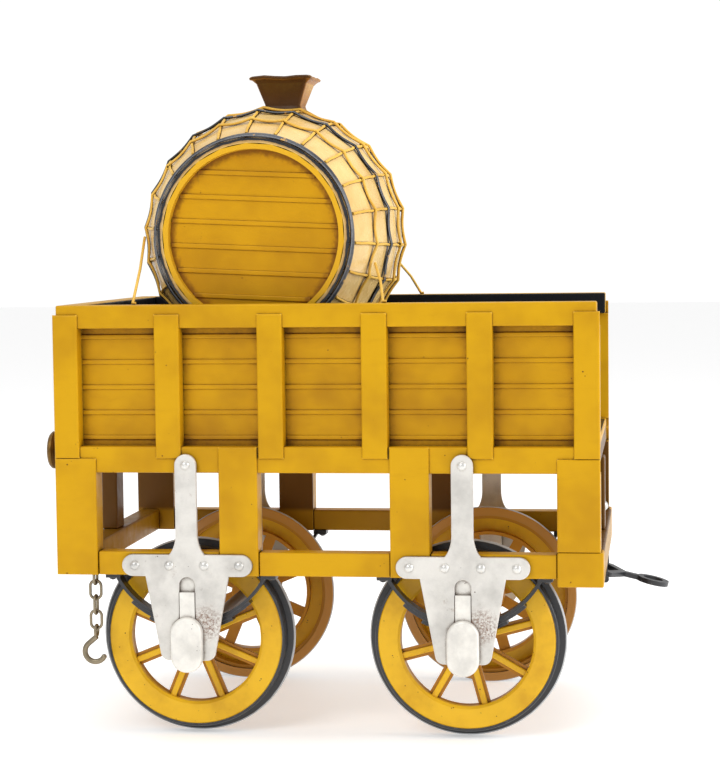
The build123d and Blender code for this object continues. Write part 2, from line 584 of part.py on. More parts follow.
def barrel_head():
    """Recessed head with its chime ring and a bead over each plank seam; the outer side faces -Y."""
    face_y = -BARREL_HALF + HEAD_RECESS
    inside_end = BARREL_END_RADIUS - STAVE_THICKNESS
    disc_radius = BARREL_END_RADIUS - CHIME_WIDTH
    head = revolve_profile([(0, face_y), (disc_radius, face_y), (disc_radius, -BARREL_HALF),
                            (inside_end, -BARREL_HALF),
                            (inside_end, face_y + HEAD_THICKNESS), (0, face_y + HEAD_THICKNESS)])
    pitch = 2 * disc_radius / HEAD_PLANKS
    for i in range(1, HEAD_PLANKS):
        z = -disc_radius + pitch * i
        half = sqrt(disc_radius ** 2 - z ** 2) - 0.4
        bead = block(-half, half, face_y - BEAD_HEIGHT, face_y + 0.2, z - BEAD_WIDTH / 2, z + BEAD_WIDTH / 2)
        bead = fillet(bead.edges().filter_by(Axis.X).group_by(Axis.Y)[0], 0.3)
        head += Rot(0, -HEAD_TILT, 0) * bead
    return head


def net_line(angle):
    """One wire from rim to rim, lying on the bulge at an angle round the axis."""
    lift = NET_RADIUS + NET_GAP
    reach = BARREL_HALF - HOOP_WIDTH - NET_RADIUS
    mid = (BARREL_BULGE_RADIUS + lift, 0)
    ends = [(stave_radius(reach) + lift, -reach), (stave_radius(reach) + lift, reach)]
    arc = ThreePointArc(ends[0], mid, ends[1])
    section = Plane(origin=arc @ 0, z_dir=arc % 0) * Circle(NET_RADIUS)
    return Rot(0, angle, 0) * sweep(section, path=arc)


def net_ring(y):
    """One wire round the barrel, over the lines."""
    centre = stave_radius(y) + 3 * NET_RADIUS + 2 * NET_GAP
    return Pos(0, y, 0) * Rot(90, 0, 0) * Torus(centre, NET_RADIUS)


def stay_wires():
    """Taut stays from the outermost net rings down to the top rails."""
    y = NET_RING_Y[0]
    radius = stave_radius(y) + 4 * NET_RADIUS + 3 * NET_GAP + STAY_RADIUS
    rods = []
    for angle, foot_x in STAYS:
        top = (BARREL_X + radius * cos(radians(angle)), y, BARREL_AXIS_Z + radius * sin(radians(angle)))
        foot = (foot_x, -(RAIL_FACE + FRAME_INNER) / 2, TOP_RAIL_TOP + 0.9 * STAY_RADIUS)
        wire = rod_between(top, foot, STAY_RADIUS)
        rods += [wire, other_side(wire)]
    return rods


def barrel_cradles():
    """Two shaped boards on the floor that carry the barrel."""
    boards = []
    for sign in (-1, 1):
        y0 = sign * CRADLE_Y - CRADLE_THICKNESS / 2
        y1 = sign * CRADLE_Y + CRADLE_THICKNESS / 2
        board = block(BARREL_X - CRADLE_WIDTH / 2, BARREL_X + CRADLE_WIDTH / 2, y0, y1,
                      BOTTOM_RAIL_TOP, CRADLE_TOP)
        seat = max(stave_radius(y0), stave_radius(y1)) + 4 * NET_RADIUS + 3 * NET_GAP + CRADLE_GAP
        boards.append(board - rod_y(BARREL_X, BARREL_AXIS_Z, y0 - 1, y1 + 1, seat))
    return boards


def funnel():
    """Square filling funnel with a flange shaped to sit on the barrel."""
    seat = BARREL_BULGE_RADIUS + CRADLE_GAP
    base_z = BARREL_AXIS_Z + seat
    top_z = base_z + FUNNEL_RISE
    lower = Plane.XY.offset(base_z) * Rectangle(FUNNEL_BOTTOM, FUNNEL_BOTTOM)
    upper = Plane.XY.offset(top_z) * Rectangle(FUNNEL_TOP, FUNNEL_TOP)
    bottom_hole = FUNNEL_BOTTOM - 2 * FUNNEL_WALL
    top_hole = FUNNEL_TOP - 2 * FUNNEL_WALL
    hole_low = Plane.XY.offset(base_z - 0.01) * Rectangle(bottom_hole, bottom_hole)
    hole_top = Plane.XY.offset(top_z + 0.01) * Rectangle(top_hole, top_hole)
    body = loft([lower, upper]) - loft([hole_low, hole_top])
    foot = block(-FUNNEL_BOTTOM / 2, FUNNEL_BOTTOM / 2, -FUNNEL_BOTTOM / 2, FUNNEL_BOTTOM / 2,
                 base_z - FUNNEL_BOTTOM / 3, base_z + 0.3)
    body += foot
    body = Pos(BARREL_X + FUNNEL_OFFSET_X, 0, 0) * body
    return body - rod_y(BARREL_X, BARREL_AXIS_Z, -FUNNEL_TOP, FUNNEL_TOP, seat)


def build_barrel():
    here = Pos(BARREL_X, 0, BARREL_AXIS_Z)
    parts["barrel_shell"] = here * barrel_shell()
    head = here * barrel_head()
    parts["barrel_heads"] = [head, other_side(head)]
    end_hoop = here * band(-BARREL_HALF, -BARREL_HALF + HOOP_WIDTH, HOOP_GAP, HOOP_THICKNESS)
    mid_hoop = here * band(-MID_HOOP_Y - MID_HOOP_WIDTH / 2, -MID_HOOP_Y + MID_HOOP_WIDTH / 2,
                           2 * NET_RADIUS + 2 * NET_GAP, HOOP_THICKNESS)
    parts["barrel_hoops"] = [end_hoop, mid_hoop, other_side(end_hoop), other_side(mid_hoop)]
    net = [here * net_line(-NET_FIRST_LINE - 360 / NET_LINES * i) for i in range(NET_LINES)]
    net += [here * net_ring(y) for y in NET_RING_Y]
    parts["barrel_net"] = net + stay_wires()
    parts["barrel_cradles"] = barrel_cradles()
    parts["filler_funnel"] = funnel()


# ---- buffers, drawbar and chain -----------------------------------------------------------------
def buffer():
    """A turned buffer on the rear rail, at Y 0."""
    face = -HALF_L - BUFFER_REACH
    profile = [(0, 0), (BUFFER_STOCK_RADIUS + 0.9, 0), (BUFFER_STOCK_RADIUS, 1.4),
               (BUFFER_STOCK_RADIUS - 0.6, BUFFER_REACH + LAP_SKIN - BUFFER_DISC - 1.0),
               (BUFFER_RADIUS - 0.5, BUFFER_REACH + LAP_SKIN - BUFFER_DISC + 0.2),
               (BUFFER_RADIUS, BUFFER_REACH + LAP_SKIN - BUFFER_DISC + 0.8),
               (BUFFER_RADIUS, BUFFER_REACH + LAP_SKIN - 0.6), (BUFFER_RADIUS - 0.6, BUFFER_REACH + LAP_SKIN),
               (0, BUFFER_REACH + LAP_SKIN)]
    turned = Rot(0, 0, 90) * revolve_profile(profile)
    return Pos(face + BUFFER_REACH + LAP_SKIN, 0, BUFFER_Z) * turned


def drawbar_pin_place():
    return HALF_L + LAP_SKIN - LUG_RADIUS, FRONT_BEAM_BOTTOM - DRAWBAR_PIN_DROP


def drawbar():
    """Forked drawbar drawn level and then drooped about its pin; its eye lies flat."""
    arm = DRAWBAR_ARM_Y
    half = DRAWBAR_BAR_THICKNESS / 2
    eye_x = DRAWBAR_EYE_REACH
    flat = Pos(eye_x, 0) * Circle(DRAWBAR_EYE_RADIUS)
    flat += Pos((DRAWBAR_CROTCH + eye_x) / 2, 0) * Rectangle(eye_x - DRAWBAR_CROTCH, DRAWBAR_BAR_WIDTH)
    for sign in (-1, 1):
        run = hypot(DRAWBAR_CROTCH - 2.4, arm)
        tilt = degrees(asin(arm / run))
        mid = Pos((DRAWBAR_CROTCH + 2.4) / 2, sign * arm / 2)
        flat += mid * Rot(0, 0, -sign * tilt) * SlotOverall(run + DRAWBAR_BAR_WIDTH, DRAWBAR_BAR_WIDTH)
        flat += Pos(1.2, sign * arm) * SlotOverall(2.4 + DRAWBAR_BAR_WIDTH, DRAWBAR_BAR_WIDTH)
    flat -= Pos(eye_x, 0) * Circle(DRAWBAR_EYE_BORE)
    bar = Pos(0, 0, -half) * extrude(flat, 2 * half)
    for sign in (-1, 1):
        y = sign * arm
        bar += rod_y(0, 0, y - DRAWBAR_BAR_WIDTH / 2, y + DRAWBAR_BAR_WIDTH / 2, LUG_RADIUS - 0.4)
    bar -= rod_y(0, 0, -arm - 3, arm + 3, DRAWBAR_PIN_RADIUS + DRAWBAR_PIN_CLEARANCE)
    x, z = drawbar_pin_place()
    return Pos(x, 0, z) * Rot(0, DRAWBAR_DROOP, 0) * bar


def drawbar_bracket():
    """Pin and the lugs that hang it under the front beam."""
    x, z = drawbar_pin_place()
    droop = radians(DRAWBAR_DROOP)
    below = DRAWBAR_BAR_THICKNESS / 2 + STOP_GAP + STOP_RADIUS
    stop_x = x + STOP_REACH * cos(droop) - below * sin(droop)
    stop_z = z - STOP_REACH * sin(droop) - below * cos(droop)
    arm_half = DRAWBAR_BAR_WIDTH / 2 + LUG_GAP
    solids = []
    reach = 0.0
    for sign in (-1, 1):
        y_in = DRAWBAR_ARM_Y + arm_half
        reach = y_in + LUG_THICKNESS
        y0, y1 = sorted((sign * y_in, sign * reach))
        lug = block(x - LUG_RADIUS, x + LUG_RADIUS, y0, y1, z, FRONT_BEAM_BOTTOM)
        lug += rod_y(x, z, y0, y1, LUG_RADIUS) + rod_y(stop_x, stop_z, y0, y1, 2 * STOP_RADIUS)
        solids.append(lug)
    pin = rod_y(x, z, -reach - 0.6, reach + 0.6, DRAWBAR_PIN_RADIUS)
    stop = rod_y(stop_x, stop_z, -reach, reach, STOP_RADIUS)
    return solids[0] + solids[1] + pin + stop


def chain_link():
    """An oval link in the XZ plane with its top wire's middle at the origin."""
    span = LINK_STRAIGHT + 2 * LINK_HALF_WIDTH
    oval = Plane.XZ * Pos(0, -span / 2) * Rot(0, 0, 90) * SlotOverall(span, 2 * LINK_HALF_WIDTH)
    path = oval.faces()[0].outer_wire()
    start = Plane(origin=path @ 0, z_dir=path % 0)
    return sweep(start * Circle(CHAIN_WIRE), path=path)


def chain_hinges():
    """Heights of the wire that each of the three links and the hook hangs from."""
    heights = [SILL_BOTTOM - EYE_DROP]
    link_span = LINK_STRAIGHT + 2 * LINK_HALF_WIDTH
    for _ in range(3):
        heights.append(heights[-1] + HANG_OFFSET - link_span)
    return heights


def chain_eye():
    """Staple under the corner post that the chain hangs from; its bottom wire runs along Y."""
    bend = EYE_HALF_WIDTH
    staple = FilletPolyline((-bend, EYE_DROP), (-bend, 0), (bend, 0), (bend, EYE_DROP), radius=bend * 0.9)
    path = Plane.YZ * staple
    start = Plane(origin=path @ 0, z_dir=path % 0)
    return Pos(CHAIN_X, CHAIN_Y, SILL_BOTTOM - EYE_DROP) * sweep(start * Circle(CHAIN_WIRE), path=path)


def chain_hook():
    """Hook hanging in the XZ plane from an eye that is turned square to it; its point is to the front."""
    eye = Pos(0, 0, -LINK_HALF_WIDTH) * Rot(0, 90, 0) * Torus(LINK_HALF_WIDTH, CHAIN_WIRE)
    top = -2 * LINK_HALF_WIDTH - 0.1
    lean = radians(HOOK_LEAN)
    heel = (-HOOK_SHANK * sin(lean), top - HOOK_SHANK * cos(lean))
    shank = Line((0, top), heel)
    bowl = JernArc(start=heel, tangent=(-sin(lean), -cos(lean)), radius=HOOK_RADIUS, arc_size=HOOK_TURN)
    path = Plane.XZ * Wire([shank, bowl])
    start = Plane(origin=path @ 0, z_dir=path % 0)
    hook = sweep(start * Circle(HOOK_WIRE), path=path)
    tip = path @ 1
    return eye + hook + Pos(tip.X, tip.Y, tip.Z) * Sphere(HOOK_WIRE)


def build_couplings():
    one = buffer()
    parts["buffers"] = [Pos(0, -BUFFER_Y, 0) * one, Pos(0, BUFFER_Y, 0) * one]
    parts["drawbar"] = drawbar()
    parts["drawbar_bracket"] = drawbar_bracket()
    parts["chain_eye"] = chain_eye()
    heights = chain_hinges()
    for i in range(3):
        link = Rot(0, 0, 90 * (i % 2)) * chain_link()
        parts["chain_link_%d" % (i + 1)] = Pos(CHAIN_X, CHAIN_Y, heights[i] + HANG_OFFSET) * link
    parts["chain_hook"] = Pos(CHAIN_X, CHAIN_Y, heights[3] + HANG_OFFSET) * chain_hook()


def write_parts():
    os.makedirs("parts", exist_ok=True)
    to_origin = Pos(-MIDDLE_X, 0, 0)
    for name, piece in parts.items():
        solids = piece if isinstance(piece, list) else [piece]
        placed = [to_origin * one for one in solids]
        shape = Compound(children=placed) if len(placed) > 1 else placed[0]
        shape.label = name
        export_step(shape, "parts/" + name + ".step")


build_body()
build_running_gear()
build_barrel()
build_couplings()
write_parts()
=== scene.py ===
"""Model railway tender with a water barrel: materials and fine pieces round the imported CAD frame."""
import json
import math
import random

import bmesh
import bpy
from mathutils import Matrix, Vector


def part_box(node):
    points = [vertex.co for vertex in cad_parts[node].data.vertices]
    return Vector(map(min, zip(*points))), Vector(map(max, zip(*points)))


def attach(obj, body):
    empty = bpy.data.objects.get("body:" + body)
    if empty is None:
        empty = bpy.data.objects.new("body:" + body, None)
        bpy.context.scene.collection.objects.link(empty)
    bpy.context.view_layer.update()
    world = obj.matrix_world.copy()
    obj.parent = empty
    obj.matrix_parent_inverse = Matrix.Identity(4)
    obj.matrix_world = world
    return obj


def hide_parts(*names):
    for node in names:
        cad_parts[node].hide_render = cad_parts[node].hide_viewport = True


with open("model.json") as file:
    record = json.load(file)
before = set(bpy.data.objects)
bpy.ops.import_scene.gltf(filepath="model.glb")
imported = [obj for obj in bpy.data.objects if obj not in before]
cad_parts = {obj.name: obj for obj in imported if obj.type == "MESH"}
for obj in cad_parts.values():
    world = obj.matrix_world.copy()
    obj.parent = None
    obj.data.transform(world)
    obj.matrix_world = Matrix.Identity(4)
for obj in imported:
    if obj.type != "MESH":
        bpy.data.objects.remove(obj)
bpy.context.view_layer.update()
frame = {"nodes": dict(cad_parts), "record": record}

MM = 0.001
random.seed(7)

# ---- places and sizes taken from the frame ------------------------------------------------------
shell_low, shell_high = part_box("barrel_shell")
BARREL_CENTRE = (shell_low + shell_high) / 2
BARREL_HALF = (shell_high.y - shell_low.y) / 2
BULGE_RADIUS = (shell_high.z - shell_low.z) / 2
BARREL_END_RADIUS = 27.2 * MM
STAVE_THICKNESS = 1.6 * MM
STAVES = 22
FIRST_STAVE_EDGE = math.radians(93.6)
WIRE = 0.4 * MM
NET_RING_Y = (-26.5, -6.0, 6.0, 26.5)
MID_HOOP_Y = 15.5 * MM
END_HOOP = 1.4 * MM
STAYS = ((180.0, -57.725), (-14.0, 11.875))
BARREL_SWELL = BULGE_RADIUS - BARREL_END_RADIUS
STAVE_ARC = (BARREL_HALF ** 2 + BARREL_SWELL ** 2) / (2 * BARREL_SWELL)
HEAD_RADIUS = 24.0 * MM
floor_low, floor_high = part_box("floor")
INNER_FACE = floor_high.y
FLOOR_TOP = floor_high.z
TOP_RAIL_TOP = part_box("near_top_rail")[1].z
REAR_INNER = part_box("rear_end_planks")[1].x
WHEEL_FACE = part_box("far_rear_wheel")[1].y
SILL_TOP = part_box("near_sill")[1].z
AXLE_Z = (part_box("rear_axle")[0].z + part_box("rear_axle")[1].z) / 2
FRONT_X = (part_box("front_axle")[0].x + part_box("front_axle")[1].x) / 2
REAR_X = (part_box("rear_axle")[0].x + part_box("rear_axle")[1].x) / 2
MIDDLE_X = (FRONT_X + REAR_X) / 2
WHEEL_X = FRONT_X - MIDDLE_X
FLANGE_RADIUS = (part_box("far_rear_tyre")[1].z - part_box("far_rear_tyre")[0].z) / 2
TYRE_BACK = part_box("far_rear_tyre")[0].y


WORLD_LIGHT = 0.62
BACKDROP_LIGHT = 1.05
FLOOR_REACH = 4.0


# ---- camera, floor and light --------------------------------------------------------------------
def make_camera():
    data = bpy.data.cameras.new("camera")
    data.sensor_width = 36.0
    data.lens = 99.67
    camera = bpy.data.objects.new("camera", data)
    bpy.context.collection.objects.link(camera)
    yaw, pitch, roll = math.radians(8.09), math.radians(3.74), math.radians(-0.695)
    forward = Vector((-math.sin(yaw) * math.cos(pitch), math.cos(yaw) * math.cos(pitch), -math.sin(pitch)))
    right = Vector((math.cos(yaw), math.sin(yaw), 0))
    up = right.cross(forward)
    camera_right = math.cos(roll) * right + math.sin(roll) * up
    camera_up = math.cos(roll) * up - math.sin(roll) * right
    turn = Matrix((camera_right, camera_up, -forward)).transposed()
    camera.matrix_world = Matrix.Translation((0.085675, -0.6117, 0.1369)) @ turn.to_4x4()
    bpy.context.scene.camera = camera


def area_light(name, place, size, power, tint=(1, 1, 1)):
    data = bpy.data.lights.new(name, "AREA")
    data.shape = "RECTANGLE"
    data.size, data.size_y = size
    data.energy = power
    data.color = tint
    lamp = bpy.data.objects.new(name, data)
    bpy.context.collection.objects.link(lamp)
    lamp.location = place
    lamp.rotation_mode = "QUATERNION"
    lamp.rotation_quaternion = (Vector((0, 0, 0.08)) - Vector(place)).to_track_quat("-Z", "Y")


def make_studio():
    world = bpy.data.worlds.new("studio")
    bpy.context.scene.world = world
    world.use_nodes = True
    world.node_tree.nodes["Background"].inputs["Color"].default_value = (1, 1, 1, 1)
    seen = world.node_tree.nodes.new("ShaderNodeLightPath").outputs["Is Camera Ray"]
    strength = world.node_tree.nodes.new("ShaderNodeMix")
    strength.inputs[2].default_value = WORLD_LIGHT
    strength.inputs[3].default_value = BACKDROP_LIGHT
    world.node_tree.links.new(seen, strength.inputs[0])
    world.node_tree.links.new(strength.outputs[0], world.node_tree.nodes["Background"].inputs["Strength"])
    bpy.context.scene.view_settings.view_transform = "Standard"
    area_light("key", (-0.35, -0.75, 0.75), (0.5, 0.4), 3.2, (1.0, 0.99, 0.97))
    area_light("right", (0.85, -0.05, 0.4), (0.5, 0.6), 5.0)
    area_light("top", (0.0, 0.1, 0.95), (0.8, 0.8), 3.0)
    mesh = bpy.data.meshes.new("studio_floor")
    corners = [(x * FLOOR_REACH, y * FLOOR_REACH, 0) for x, y in ((-1, -1), (1, -1), (1, 1), (-1, 1))]
    mesh.from_pydata(corners, [], [(0, 1, 2, 3)])
    floor = bpy.data.objects.new("studio_floor", mesh)
    bpy.context.collection.objects.link(floor)
    material = bpy.data.materials.new("studio_floor")
    material.use_nodes = True
    shader = material.node_tree.nodes["Principled BSDF"]
    shader.inputs["Base Color"].default_value = (0.9, 0.9, 0.9, 1)
    shader.inputs["Roughness"].default_value = 0.5
    shader.inputs["Emission Color"].default_value = (1, 1, 1, 1)
    shader.inputs["Emission Strength"].default_value = 0.38
    mesh.materials.append(material)


# ---- material building --------------------------------------------------------------------------
class Paint:
    """Short names for building one material's node tree."""

    def __init__(self, name):
        self.material = bpy.data.materials.new(name)
        self.material.use_nodes = True
        self.tree = self.material.node_tree
        self.shader = self.tree.nodes["Principled BSDF"]
        self.place = self.tree.nodes.new("ShaderNodeTexCoord").outputs["Object"]
        self.shine = 0.2

    def node(self, kind, **inputs):
        made = self.tree.nodes.new("ShaderNode" + kind)
        for key, value in inputs.items():
            socket = made.inputs[int(key[2:]) if key.startswith("in") else key.replace("_", " ")]
            self.feed(socket, value)
        return made

    def feed(self, socket, value):
        if isinstance(value, bpy.types.NodeSocket):
            self.tree.links.new(value, socket)
        elif isinstance(value, tuple) and len(value) == 3 and socket.type == "RGBA":
            socket.default_value = (*value, 1)
        else:
            socket.default_value = value

    def noise(self, size_mm, detail=4.0, rough=0.6, stretch=None):
        """Noise from 0 to 1 with features about size_mm across."""
        place = self.place
        if stretch:
            place = self.node("Mapping", Vector=place, Scale=stretch).outputs[0]
        made = self.node("TexNoise", Vector=place, Scale=1000.0 / size_mm, Detail=detail, Roughness=rough)
        return made.outputs[0]

    def ramp(self, value, low, high):
        """0 below low, 1 above high, and eased between. low may be above high."""
        made = self.node("MapRange", Value=value)
        made.interpolation_type = "SMOOTHSTEP"
        flip = low > high
        made.inputs["From Min"].default_value = min(low, high)
        made.inputs["From Max"].default_value = max(low, high)
        made.inputs["To Min"].default_value = 1.0 if flip else 0.0
        made.inputs["To Max"].default_value = 0.0 if flip else 1.0
        return made.outputs[0]

    def math(self, operation, a, b=0.0):
        made = self.node("Math", in0=a, in1=b)
        made.operation = operation
        return made.outputs[0]

    def axis(self, name):
        return self.node("SeparateXYZ", Vector=self.place).outputs[name]

    def distance_from(self, x, z, fold=False):
        """Distance from a line along Y; with fold, from the nearer of two, x either side of MIDDLE_X."""
        across = self.axis("X")
        if fold:
            across = self.math("ABSOLUTE", self.math("SUBTRACT", across, MIDDLE_X))
        across = self.math("POWER", self.math("ABSOLUTE", self.math("SUBTRACT", across, x)), 2.0)
        rise = self.math("POWER", self.math("ABSOLUTE", self.math("SUBTRACT", self.axis("Z"), z)), 2.0)
        return self.math("SQRT", self.math("ADD", across, rise))

    def ragged(self, value, size_mm, sway_mm):
        """A distance made uneven, so that a paint boundary drawn with it looks hand made."""
        return self.math("ADD", value, self.math("MULTIPLY", self.noise(size_mm, 5.0), sway_mm * MM))

    def shut_in(self, reach_mm, inside=False):
        """1 in creases and corners, 0 in the open; with inside, 1 at outer edges."""
        made = self.node("AmbientOcclusion", Distance=reach_mm * MM)
        made.samples = 8
        made.inside = inside
        return self.math("SUBTRACT", 1.0, made.outputs["AO"])

    def mix(self, factor, a, b):
        made = self.node("Mix")
        made.data_type = "RGBA"
        self.feed(made.inputs[0], factor)
        self.feed(made.inputs[6], a)
        self.feed(made.inputs[7], b)
        return made.outputs[2]

    def bump(self, *layers):
        """Height layers as (value, depth in mm, sign), stacked into the shader's normal."""
        normal = None
        for value, depth in layers:
            made = self.node("Bump", Height=value, Distance=abs(depth) * MM)
            made.inputs["Strength"].default_value = 1.0
            made.invert = depth < 0
            if normal:
                self.tree.links.new(normal, made.inputs["Normal"])
            normal = made.outputs[0]
        self.tree.links.new(normal, self.shader.inputs["Normal"])

    def finish(self, colour, roughness, metallic=0.0, coat=0.0):
        self.feed(self.shader.inputs["Base Color"], colour)
        self.feed(self.shader.inputs["Roughness"], roughness)
        self.feed(self.shader.inputs["Metallic"], metallic)
        self.shader.inputs["Coat Weight"].default_value = coat
        self.shader.inputs["Specular IOR Level"].default_value = self.shine
        self.shader.inputs["Coat Roughness"].default_value = 0.22
        return self.material


def srgb(r, g, b):
    """Linear colour from 0 to 255 screen values."""
    return tuple((c / 255 / 12.92) if c <= 10 else ((c / 255 + 0.055) / 1.055) ** 2.4 for c in (r, g, b))


UMBER = srgb(92, 52, 14)
DARK_UMBER = srgb(48, 28, 12)
BLACK = srgb(22, 23, 27)


def specks(paint, size_mm, amount):
    """1 on small scattered spots."""
    spots = paint.node("TexVoronoi", Vector=paint.place, Scale=1000.0 / size_mm)
    near = paint.ramp(spots.outputs["Distance"], 0.26, 0.16)
    patches = paint.ramp(paint.noise(size_mm * 3.1, 3.0), 1.0 - amount, 1.06 - amount)
    return paint.math("MULTIPLY", near, patches)


def enamel(name, base, shade, grime_reach=3.0, grime=0.85, edge=0.5, speck=0.34, rough=0.36,
           frame_side=False, trims=(), shine=0.12):
    """Aged enamel: cloudy colour, brown patina in the creases, pale edges that are painted highlight and
    worn paint, and dark specks.
    """
    paint = Paint(name)
    paint.shine = shine
    cloud = paint.ramp(paint.noise(22.0, 3.0), 0.35, 0.72)
    colour = paint.mix(cloud, base, shade)
    streak = paint.ramp(paint.noise(5.0, 6.0, 0.7, (0.35, 1.0, 1.6)), 0.5, 0.78)
    colour = paint.mix(paint.math("MULTIPLY", streak, 0.35), colour, shade)
    crease = paint.shut_in(grime_reach)
    ragged = paint.math("ADD", crease, paint.math("MULTIPLY", paint.noise(2.2, 6.0, 0.75), 0.5))
    dirt = paint.math("MULTIPLY", paint.ramp(ragged, 0.5, 0.98), grime)
    colour = paint.mix(dirt, colour, UMBER)
    deep = paint.math("MULTIPLY", paint.ramp(ragged, 0.86, 1.2), 0.85)
    colour = paint.mix(deep, colour, DARK_UMBER)
    seam = paint.math("ADD", paint.shut_in(0.7), paint.math("MULTIPLY", paint.noise(1.4, 3.0), 0.3))
    colour = paint.mix(paint.math("MULTIPLY", paint.ramp(seam, 0.5, 0.72), 0.9), colour, DARK_UMBER)
    # Pale edges: painted highlight along the convex edges, partly worn paint.
    worn = paint.math("ADD", paint.shut_in(0.7, True), paint.math("MULTIPLY", paint.noise(1.6, 4.0), 0.35))
    rim = paint.ramp(worn, 0.5, 0.85)
    colour = paint.mix(paint.math("MULTIPLY", rim, edge), colour, srgb(244, 203, 84))
    spots = specks(paint, 1.1, speck)
    colour = paint.mix(spots, colour, UMBER)
    if frame_side:
        # Painted shade, with brown patina, on the inward faces of the lower frame.
        colour = paint.mix(inner_frame_shade_and_patina(paint), colour, srgb(92, 58, 18))
        colour = paint.mix(inside_body(paint), colour, BLACK)
    for trim in trims:
        colour = trim(paint, colour)
    wear = paint.ramp(paint.noise(3.0, 5.0), 0.3, 0.75)
    dull = paint.math("ADD", paint.math("MULTIPLY", dirt, 0.25), rough - 0.05)
    roughness = paint.math("ADD", paint.math("MULTIPLY", wear, 0.14), dull)
    paint.bump((paint.noise(9.0, 2.0), 0.25), (paint.noise(0.9, 4.0), 0.03), (spots, -0.05))
    return paint.finish(colour, roughness, coat=0.06)


def barrel_end(paint, colour):
    """Black paint, brushed unevenly, on the rim that the end hoop covers; sandy wear just inside it."""
    out = paint.ragged(paint.distance_from(BARREL_CENTRE.x, BARREL_CENTRE.z), 3.0, 0.9)
    end = paint.math("GREATER_THAN", paint.math("ABSOLUTE", paint.axis("Y")), BARREL_HALF - 0.2 * MM)
    sandy = paint.math("MULTIPLY", end, paint.ramp(out, 25.9 * MM, 26.5 * MM))
    colour = paint.mix(paint.math("MULTIPLY", sandy, 0.7), colour, srgb(150, 112, 60))
    black = paint.math("MULTIPLY", end, paint.ramp(out, 26.6 * MM, 26.8 * MM))
    return paint.mix(black, colour, BLACK)


def chime(paint, colour):
    """The raised ring round the head is cleaner and brighter than the planks inside it."""
    from_centre = paint.distance_from(BARREL_CENTRE.x, BARREL_CENTRE.z)
    ring = paint.ramp(from_centre, HEAD_RADIUS - 0.2 * MM, HEAD_RADIUS)
    out = paint.ragged(paint.distance_from(BARREL_CENTRE.x, BARREL_CENTRE.z), 2.0, 4.0)
    edge = paint.ramp(out, 23.6 * MM, 25.6 * MM)
    colour = paint.mix(paint.math("MULTIPLY", edge, 0.7), colour, srgb(112, 66, 18))
    return paint.mix(paint.math("MULTIPLY", ring, 0.75), colour, srgb(238, 184, 40))


def funnel_side_shade(paint, colour):
    """Painted shade: the funnel is darkest on the side that faces the near end of the barrel."""
    normal = paint.tree.nodes["Texture Coordinate"].outputs["Normal"]
    facing = paint.node("SeparateXYZ", Vector=normal).outputs["Y"]
    return paint.mix(paint.math("MULTIPLY", paint.ramp(facing, -0.2, -0.65), 0.88), colour, srgb(58, 34, 15))


def inside_body(paint):
    """1 on the faces that line the inside of the wagon body."""
    across = paint.math("ABSOLUTE", paint.axis("Y"))
    inner = paint.math("LESS_THAN", across, INNER_FACE + 0.25 * MM)
    high = paint.math("GREATER_THAN", paint.axis("Z"), FLOOR_TOP - 0.05 * MM)
    ahead = paint.math("GREATER_THAN", paint.axis("X"), REAR_INNER - 0.1 * MM)
    return paint.math("MULTIPLY", paint.math("MULTIPLY", inner, high), ahead)


def inner_frame_shade_and_patina(paint):
    """Up to 1 on the inward faces of the lower frame, which get painted shade and carry the most patina."""
    across = paint.math("ABSOLUTE", paint.axis("Y"))
    inner = paint.math("LESS_THAN", across, INNER_FACE + 0.3 * MM)
    low = paint.math("LESS_THAN", paint.axis("Z"), FLOOR_TOP - 2.0 * MM)
    above_sill = paint.ramp(paint.axis("Z"), SILL_TOP - 1.0 * MM, SILL_TOP + 1.0 * MM)
    amount = paint.math("ADD", 0.45, paint.math("MULTIPLY", above_sill, 0.5))
    return paint.math("MULTIPLY", paint.math("MULTIPLY", inner, low), amount)


def wheel_paint():
    """Yellow on what stands forward, brown in the recesses of the pressing: patina wash, and painted shade
    on the inboard faces of the far wheels.
    """
    paint = Paint("wheel_enamel")
    across = paint.math("ABSOLUTE", paint.axis("Y"))
    ragged = paint.math("ADD", across, paint.math("MULTIPLY", paint.noise(1.5, 5.0), 0.5 * MM))
    recess = paint.ramp(ragged, WHEEL_FACE - 1.55 * MM, WHEEL_FACE - 2.1 * MM)
    cloud = paint.ramp(paint.noise(11.0, 4.0), 0.35, 0.75)
    colour = paint.mix(cloud, srgb(229, 180, 36), srgb(206, 156, 30))
    crease = paint.math("ADD", paint.shut_in(2.2), paint.math("MULTIPLY", paint.noise(1.3, 6.0, 0.75), 0.45))
    dirt = paint.ramp(crease, 0.62, 1.1)
    # The brown is patina wash in the recesses and painted shade on the wheels' inboard faces.
    colour = paint.mix(paint.math("MULTIPLY", recess, 0.85), colour, srgb(164, 104, 28))
    colour = paint.mix(dirt, colour, srgb(98, 58, 16))
    colour = paint.mix(specks(paint, 0.9, 0.4), colour, UMBER)
    paint.bump((paint.noise(6.0, 2.0), 0.12), (paint.noise(0.8, 4.0), 0.03))
    roughness = paint.math("ADD", 0.3, paint.math("MULTIPLY", dirt, 0.3))
    return paint.finish(colour, roughness, coat=0.06)


def flange_line(paint, colour):
    """Bare bright steel where the flange's edge runs on the rail."""
    out = paint.ragged(paint.distance_from(WHEEL_X, AXLE_Z, True), 4.0, 0.3)
    edge = paint.ramp(out, FLANGE_RADIUS - 0.35 * MM, FLANGE_RADIUS - 0.1 * MM)
    return paint.mix(paint.math("MULTIPLY", edge, 0.8), colour, srgb(196, 198, 200))


def tyre_back(paint, colour):
    """The inboard faces of the tyres share the wheel's brown-yellow paint, which is patina and painted
    shade.
    """
    across = paint.math("ABSOLUTE", paint.axis("Y"))
    back = paint.math("LESS_THAN", across, TYRE_BACK + 0.15 * MM)
    # Painted shade with patina on the tyres' inboard faces.
    return paint.mix(back, colour, srgb(172, 118, 34))


